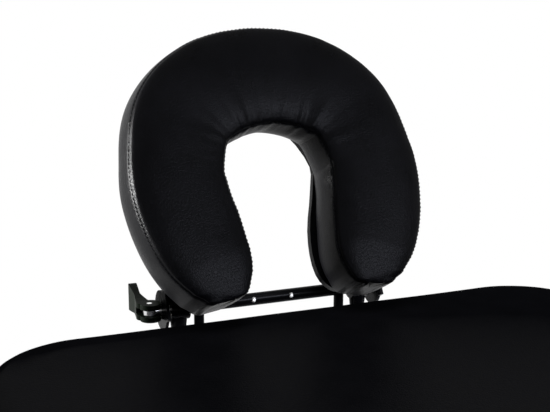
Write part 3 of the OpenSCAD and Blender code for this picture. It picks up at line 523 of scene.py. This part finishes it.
def gather_pad(obj, rings, total):
    """Small gathers of the cover at the round corners and a little slack along the sides."""
    co, no = coords(obj), normals(obj)
    m, n = rings.shape[:2]
    y_end = rings[:, :, 1].max()
    x_end = rings[:, :, 0].max()
    for k in range(PAD_STAPLED, min(m, PAD_LAST_GATHER + 1)):
        low = math.exp(-max(0, k - 5) / 4)
        high = math.exp(-max(0, k - 12) / 6)
        for j in range(n):
            x, y = rings[PAD_OUTLINE_RING, j, :2]
            from_corner = math.hypot(x_end - abs(x) - CORNER_IN, y_end - y - CORNER_IN)
            corner = max(0.0, 1 - from_corner / CORNER_REACH)
            run = total * j / n
            fold = wave(run / CORNER_PITCH, k / 16, 1.3) + 0.5 * wave(run / CORNER_FINE, k / 16, 2.3)
            slack = wave(run / SIDE_PITCH, k / 9, 4.4)
            co[k * n + j] += no[k * n + j] * (CORNER_DEPTH * corner * fold * low + SIDE_SLACK * slack * high)
    co[:, 2] = np.maximum(co[:, 2], rings[0, 0, 2])
    set_coords(obj, co)


def seen_rays(nodes, links):
    """1 for the rays that show a background: camera, glossy and transmission rays."""
    path = nodes.new("ShaderNodeLightPath")
    seen = path.outputs["Is Camera Ray"]
    for ray in ("Is Glossy Ray", "Is Transmission Ray"):
        larger = nodes.new("ShaderNodeMath")
        larger.operation = "MAXIMUM"
        links.new(seen, larger.inputs[0])
        links.new(path.outputs[ray], larger.inputs[1])
        seen = larger.outputs[0]
    return seen


# Materials
class Tree:
    """Short forms for building one material's nodes."""

    def __init__(self, name):
        self.mat = bpy.data.materials.new(name)
        self.mat.use_nodes = True
        self.nodes = self.mat.node_tree.nodes
        self.links = self.mat.node_tree.links
        self.bsdf = self.nodes["Principled BSDF"]
        self.coord = self.nodes.new("ShaderNodeTexCoord").outputs["Object"]

    def add(self, kind, **values):
        node = self.nodes.new(kind)
        for key, value in values.items():
            if key in node.inputs:
                node.inputs[key].default_value = value
            else:
                setattr(node, key, value)
        return node

    def noise(self, scale, detail=3.0, rough=0.55, stretch=None):
        node = self.add("ShaderNodeTexNoise", Scale=scale, Detail=detail, Roughness=rough)
        self.links.new(self.stretched(stretch), node.inputs["Vector"])
        return node.outputs["Fac"]

    def stretched(self, stretch):
        if not stretch:
            return self.coord
        node = self.add("ShaderNodeMapping")
        node.inputs["Scale"].default_value = stretch
        self.links.new(self.coord, node.inputs["Vector"])
        return node.outputs["Vector"]

    def cells(self, scale, feature="F1", stretch=None):
        node = self.add("ShaderNodeTexVoronoi", Scale=scale)
        node.feature = feature
        self.links.new(self.stretched(stretch), node.inputs["Vector"])
        return node.outputs["Distance"]

    def spread(self, value, low, high, from_low=0.0, from_high=1.0):
        node = self.add("ShaderNodeMapRange")
        for key, v in (("From Min", from_low), ("From Max", from_high), ("To Min", low), ("To Max", high)):
            node.inputs[key].default_value = v
        self.links.new(value, node.inputs["Value"])
        return node.outputs["Result"]

    def mix(self, fac, a, b):
        node = self.add("ShaderNodeMix", data_type="RGBA")
        self.links.new(fac, node.inputs["Factor"])
        node.inputs["A"].default_value = (*a, 1)
        node.inputs["B"].default_value = (*b, 1)
        return node.outputs["Result"]

    def bump(self, height, distance, strength=1.0, under=None):
        node = self.add("ShaderNodeBump", Strength=strength, Distance=distance)
        self.links.new(height, node.inputs["Height"])
        if under is not None:
            self.links.new(under, node.inputs["Normal"])
        return node.outputs["Normal"]

    def edge_gloss(self, front, edge):
        """Gloss that eases off where the surface turns away."""
        weight = self.add("ShaderNodeLayerWeight", Blend=0.5)
        return self.spread(weight.outputs["Facing"], front, edge, 0.3, 0.7)

    def set(self, **values):
        for key, value in values.items():
            socket = self.bsdf.inputs[key.replace("_", " ")]
            if hasattr(value, "is_linked") or hasattr(value, "links"):
                self.links.new(value, socket)
            else:
                socket.default_value = value
        return self.mat


CREASE_SHARE = 0.33


def cover_material(name, dark, light, rough, grain, gloss, edge, slack):
    """Black coated fabric: pebbled grain, fine creases, and a slightly uneven sheen.

    Grain is the size of a pebble and slack the depth of broad waves, both in metres. Gloss is seen from
    the front, and edge where the surface turns away.
    """
    t = Tree(name)
    pebbles = t.cells(1 / grain)
    creases = t.cells(CREASE_SHARE / grain, "DISTANCE_TO_EDGE")
    broad = t.noise(9, 4)
    fine = t.noise(2200, 2)
    normal = t.bump(broad, slack, 0.35)
    normal = t.bump(t.spread(creases, 0, 1, 0, 0.12), 0.00012, 0.5, normal)
    normal = t.bump(pebbles, 0.00022, 0.55, normal)
    normal = t.bump(fine, 0.00004, 0.5, normal)
    worn = t.noise(26, 5, 0.6)
    return t.set(
        Base_Color=t.mix(t.spread(worn, 0, 1, 0.3, 0.7), dark, light),
        Roughness=t.spread(worn, rough - 0.05, rough + 0.07, 0.25, 0.75),
        Normal=normal, Specular_IOR_Level=t.edge_gloss(gloss, edge), Sheen_Weight=0.003,
        Sheen_Roughness=0.5)


def thread_material():
    """Twisted black sewing thread."""
    t = Tree("thread_black")
    twist = t.noise(3800, 2, stretch=(1, 1, 3))
    return t.set(
        Base_Color=t.mix(twist, (0.001, 0.001, 0.001), (0.006, 0.006, 0.007)),
        Roughness=t.spread(twist, 0.6, 0.8), Normal=t.bump(twist, 0.0001, 0.6), Specular_IOR_Level=0.08)


ALLOY = (0.45, 0.46, 0.48)


def alloy_material(name, along):
    """Satin anodised aluminium with drawing lines along its length."""
    t = Tree(name)
    stretch = {"x": (1, 60, 60), "y": (60, 1, 60), "z": (60, 60, 1)}[along]
    lines = t.noise(40, 4, 0.6, stretch)
    smudge = t.noise(7, 3)
    dull = tuple(c * 0.86 for c in ALLOY)
    return t.set(
        Base_Color=t.mix(t.spread(smudge, 0, 1, 0.3, 0.7), ALLOY, dull), Metallic=1.0,
        Roughness=t.spread(lines, 0.26, 0.42, 0.3, 0.7), Normal=t.bump(lines, 0.00005, 0.4))


def metal_material(name, colour, rough):
    """Plated steel with faint handling marks."""
    t = Tree(name)
    marks = t.noise(180, 5, 0.65)
    broad = t.noise(12, 3)
    dull = tuple(c * 0.8 for c in colour)
    return t.set(
        Base_Color=t.mix(t.spread(broad, 0, 1, 0.3, 0.7), colour, dull), Metallic=1.0,
        Roughness=t.spread(marks, rough - 0.04, rough + 0.09, 0.3, 0.75),
        Normal=t.bump(marks, 0.00003, 0.35))


def paint_material(name, colour, rough):
    """Gloss black powder paint with a fine orange peel."""
    t = Tree(name)
    peel = t.noise(900, 2)
    worn = t.noise(70, 5, 0.62)
    edge = tuple(c * 1.8 + 0.001 for c in colour)
    return t.set(
        Base_Color=t.mix(t.spread(worn, 0, 1, 0.55, 0.8), colour, edge),
        Roughness=t.spread(worn, rough, rough + 0.10, 0.35, 0.75),
        Normal=t.bump(peel, 0.00004, 0.35), Specular_IOR_Level=0.04, Coat_Weight=0.01, Coat_Roughness=0.12)


def plastic_material(name, colour, rough, gloss):
    """Moulded plastic with a spark-eroded texture."""
    t = Tree(name)
    grain = t.noise(2600, 3, 0.6)
    flow = t.noise(30, 3)
    pale = tuple(c * 1.4 + 0.0003 for c in colour)
    return t.set(
        Base_Color=t.mix(t.spread(flow, 0, 1, 0.3, 0.75), colour, pale),
        Roughness=t.spread(flow, rough - 0.05, rough + 0.06, 0.3, 0.7), Normal=t.bump(grain, 0.00006, 0.5),
        Specular_IOR_Level=gloss)


def rubber_material():
    """Moulded black rubber with pale dust on it."""
    t = Tree("foot_rubber_black")
    grain = t.noise(1500, 4, 0.6)
    dust = t.noise(22, 5, 0.65)
    return t.set(
        Base_Color=t.mix(t.spread(dust, 0, 1, 0.5, 0.85), (0.012, 0.012, 0.012), (0.05, 0.048, 0.045)),
        Roughness=t.spread(dust, 0.62, 0.85), Normal=t.bump(grain, 0.0001, 0.6))


def webbing_material():
    """Woven strap: ribs across it and yarns along it."""
    t = Tree("webbing_black")
    ribs = t.add("ShaderNodeTexWave", Scale=160.0, Distortion=0.6, Detail=2.0)
    ribs.bands_direction = "Y"
    t.links.new(t.coord, ribs.inputs["Vector"])
    yarns = t.add("ShaderNodeTexWave", Scale=110.0, Distortion=0.8, Detail=2.0)
    yarns.bands_direction = "Z"
    t.links.new(t.coord, yarns.inputs["Vector"])
    normal = t.bump(ribs.outputs["Fac"], 0.0004, 0.8)
    normal = t.bump(yarns.outputs["Fac"], 0.0003, 0.6, normal)
    return t.set(
        Base_Color=t.mix(ribs.outputs["Fac"], (0.006, 0.006, 0.007), (0.028, 0.028, 0.031)),
        Roughness=t.spread(yarns.outputs["Fac"], 0.6, 0.8), Normal=normal, Sheen_Weight=0.15)


def board_material():
    """Birch plywood: grain along the board and thin darker plies at its edge."""
    t = Tree("plywood")
    grain = t.noise(14, 6, 0.6, (14, 0.8, 14))
    plies = t.add("ShaderNodeTexWave", Scale=95.0, Distortion=0.4, Detail=2.0)
    plies.bands_direction = "Z"
    t.links.new(t.coord, plies.inputs["Vector"])
    tone = t.add("ShaderNodeMath", operation="MULTIPLY")
    t.links.new(grain, tone.inputs[0])
    t.links.new(t.spread(plies.outputs["Fac"], 0.7, 1.1), tone.inputs[1])
    return t.set(
        Base_Color=t.mix(tone.outputs[0], (0.50, 0.34, 0.19), (0.24, 0.145, 0.075)),
        Roughness=t.spread(grain, 0.5, 0.68), Normal=t.bump(grain, 0.0002, 0.4))


# Rivets in the crossbar: their distance from its middle, the radius of the bright part, and a radius
# just over the bar's own
RIVET_X = 0.020
RIVET_R = 0.0019
BAR_R = 0.00602


def bright_rivets():
    """The two rivet heads on the crossbar keep their plated metal."""
    obj = frame["nodes"]["cradle_crossbar"]
    obj.data.materials.append(bright)
    for face in obj.data.polygons:
        at = obj.matrix_world @ face.center - HUB
        if abs(abs(at.x) - RIVET_X) < RIVET_R and at.y < 0 and math.hypot(at.y, at.z) > BAR_R:
            face.material_index = 1


def put(material, *nodes):
    """Makes this the only material of the named solids."""
    for node in nodes:
        obj = frame["nodes"][node]
        obj.data.materials.clear()
        obj.data.materials.append(material)


def soften_edges(width, *nodes):
    """A small bevel on the sharp edges of solids, so that they catch the light."""
    for node in nodes:
        mod = frame["nodes"][node].modifiers.new("edge", "BEVEL")
        mod.width = width
        mod.segments = 2
        mod.limit_method = "ANGLE"
        mod.angle_limit = math.radians(40)


def dress_hardware():
    """Gives every solid that shows its material."""
    for half in ("head", "foot"):
        put(alloy_y, f"{half}_rail_left", f"{half}_rail_right")
        put(alloy_x, f"{half}_rail_end", f"{half}_rail_seam", f"{half}_leg_bar")
        put(alloy_z, f"{half}_leg_left", f"{half}_leg_right",
            f"{half}_left_lower_leg", f"{half}_right_lower_leg")
        put(black_plastic, f"{half}_leg_brackets")
        put(zinc, f"{half}_leg_bolts", f"{half}_hinge_leaves", f"{half}_fixings",
            f"{half}_stay_uppers", f"{half}_stay_lowers", f"{half}_left_button", f"{half}_right_button")
        put(rubber, f"{half}_left_foot", f"{half}_right_foot")
        put(webbing, f"{half}_handle")
        put(plywood, f"{half}_board")
    put(zinc, "hinge_pins", "latch_hook_left", "latch_hook_right", "plate_screws")
    put(black_plastic, "cradle_sockets")
    put(gloss_black, "cradle_rods", "cradle_arms", "cradle_brackets", "cradle_crossbar")
    put(bright, "tilt_bolt", "lift_bolt", "clamp_spacers")
    put(panel, "cradle_plate")
    put(lever_plastic, "tilt_lever", "lift_lever")


# Floor: its side, and how much lighter it looks in the picture than its lit colour
FLOOR_SIZE = 2.9
FLOOR_LIFT = 0.16
# Ceiling of light: cosines of the angle from straight up at which it starts and is full, and strengths
CEILING_FROM = 0.88
CEILING_FULL = 0.995
HORIZON_LIGHT = 0.03
CEILING_LIGHT = 7.6
# Middle of the cushion's face from the tilt bolt, and the camera and lamps from there
FACE_CENTRE = Vector((0, -0.0187, 0.1496))
EYE = Vector((-0.407, -1.001, 0.197))
CAMERA_TURN = math.radians(-22)
CAMERA_DOWN = math.radians(13)
# Focal length and picture width in pixels, sensor width in millimetres
FOCAL = 1150
FRAME_W = 550
SENSOR = 36.0
WINDOW_AT = Vector((0.85, -2.15, 0.85))
WINDOW_SIZE = (1.6, 0.5)
WINDOW_POWER = 52
WINDOW_COLOUR = (0.82, 0.85, 1.0)
SIDE_AT = Vector((-2.35, 1.25, 0.25))
SIDE_SIZE = (0.7, 1.0)
SIDE_POWER = 600


def make_floor():
    """Plain pale floor, which the picture shows a little lighter than it is lit."""
    h = FLOOR_SIZE / 2
    obj = new_mesh("floor", [(-h, -h, 0), (h, -h, 0), (h, h, 0), (-h, h, 0)], [[0, 1, 2, 3]], smooth=False)
    t = Tree("pale_floor")
    obj.data.materials.append(t.set(
        Base_Color=t.mix(t.noise(3, 4), (0.88, 0.88, 0.88), (0.90, 0.90, 0.90)), Roughness=1.0,
        Specular_IOR_Level=0.0, Emission_Color=(1, 1, 1, 1),
        Emission_Strength=t.spread(seen_rays(t.nodes, t.links), 0, FLOOR_LIFT)))


def make_world():
    """A soft ceiling of light that fades towards the horizon, and a white background."""
    world = bpy.data.worlds.new("studio")
    world.use_nodes = True
    bpy.context.scene.world = world
    nodes, links = world.node_tree.nodes, world.node_tree.links
    nodes.clear()
    coord = nodes.new("ShaderNodeTexCoord")
    split = nodes.new("ShaderNodeSeparateXYZ")
    links.new(coord.outputs["Generated"], split.inputs[0])
    ramp = nodes.new("ShaderNodeMapRange")
    ramp.interpolation_type = "SMOOTHSTEP"
    for key, value in (("From Min", CEILING_FROM), ("From Max", CEILING_FULL),
                       ("To Min", HORIZON_LIGHT), ("To Max", CEILING_LIGHT)):
        ramp.inputs[key].default_value = value
    links.new(split.outputs["Z"], ramp.inputs["Value"])
    soft = nodes.new("ShaderNodeBackground")
    soft.inputs["Color"].default_value = (0.97, 0.98, 1.0, 1)
    links.new(ramp.outputs["Result"], soft.inputs["Strength"])
    white = nodes.new("ShaderNodeBackground")
    white.inputs["Color"].default_value = (1, 1, 1, 1)
    mix = nodes.new("ShaderNodeMixShader")
    links.new(seen_rays(nodes, links), mix.inputs[0])
    links.new(soft.outputs[0], mix.inputs[1])
    links.new(white.outputs[0], mix.inputs[2])
    out = nodes.new("ShaderNodeOutputWorld")
    links.new(mix.outputs[0], out.inputs["Surface"])


def area_light(name, place, size, power, colour=(1, 1, 1)):
    """A rectangular lamp that points at the middle of the cushion's face."""
    data = bpy.data.lights.new(name, "AREA")
    data.shape = "RECTANGLE"
    data.size, data.size_y = size
    data.energy = power
    data.color = colour
    obj = bpy.data.objects.new(name, data)
    obj.location = HUB + FACE_CENTRE + place
    obj.rotation_euler = (-place).to_track_quat("-Z", "Y").to_euler()
    bpy.context.scene.collection.objects.link(obj)
    return obj


def make_lights(*dark_pieces):
    """A window in front, and a lamp that draws the highlight along the dark pieces at the left only."""
    area_light("window", WINDOW_AT, WINDOW_SIZE, WINDOW_POWER, WINDOW_COLOUR)
    side = area_light("side", SIDE_AT, SIDE_SIZE, SIDE_POWER)
    group = bpy.data.collections.new("lit_from_the_side")
    for obj in dark_pieces:
        group.objects.link(obj)
    side.light_linking.receiver_collection = group


def make_camera():
    """The photograph's point of view."""
    data = bpy.data.cameras.new("camera")
    data.sensor_width = SENSOR
    data.lens = FOCAL / FRAME_W * SENSOR
    data.clip_end = 200
    obj = bpy.data.objects.new("camera", data)
    obj.location = HUB + FACE_CENTRE + EYE
    obj.rotation_euler = (math.pi / 2 - CAMERA_DOWN, 0, CAMERA_TURN)
    bpy.context.scene.collection.objects.link(obj)
    bpy.context.scene.camera = obj


bpy.context.scene.view_settings.view_transform = "Standard"
make_camera()
make_floor()
make_world()

top_cover = cover_material(
    "cover_black_top", (0.0013, 0.0013, 0.0016), (0.0020, 0.0020, 0.0024),
    rough=0.32, grain=0.0011, gloss=0.010, edge=0.0, slack=0.0)
cushion_cover = cover_material(
    "cover_black_cushion", (0.0008, 0.0008, 0.0010), (0.0013, 0.0013, 0.0016),
    rough=0.30, grain=0.0010, gloss=0.024, edge=0.015, slack=0.0003)
thread = thread_material()
alloy_x = alloy_material("alloy_across", "x")
alloy_y = alloy_material("alloy_along", "y")
alloy_z = alloy_material("alloy_upright", "z")
zinc = metal_material("zinc_plate", (0.48, 0.49, 0.51), rough=0.30)
bright = metal_material("bright_steel", (0.86, 0.86, 0.86), rough=0.30)
gloss_black = paint_material("gloss_black", (0.003, 0.003, 0.0035), rough=0.22)
panel = plastic_material("panel_black", (0.0022, 0.0022, 0.0026), rough=0.40, gloss=0.05)
black_plastic = plastic_material("plastic_black", (0.014, 0.014, 0.015), rough=0.45, gloss=0.25)
lever_plastic = plastic_material("lever_dark", (0.0012, 0.0018, 0.0011), rough=0.37, gloss=0.009)
rubber = rubber_material()
webbing = webbing_material()
plywood = board_material()

cushion, seam_edges = make_cushion()
cushion.data.materials.append(cushion_cover)
thread_row = cushion_stitching(seam_edges)
thread_row.data.materials.append(thread)
for pad in (make_pad("head_pad_cover", "head_pad", "head_frame", 1),
            make_pad("foot_pad_cover", "foot_pad", "foot_frame", -1)):
    pad.data.materials.append(top_cover)
dress_hardware()
bright_rivets()
make_lights(cushion, frame["nodes"]["tilt_lever"])
soften_edges(0.0006, "tilt_lever", "lift_lever", "head_leg_brackets", "foot_leg_brackets")
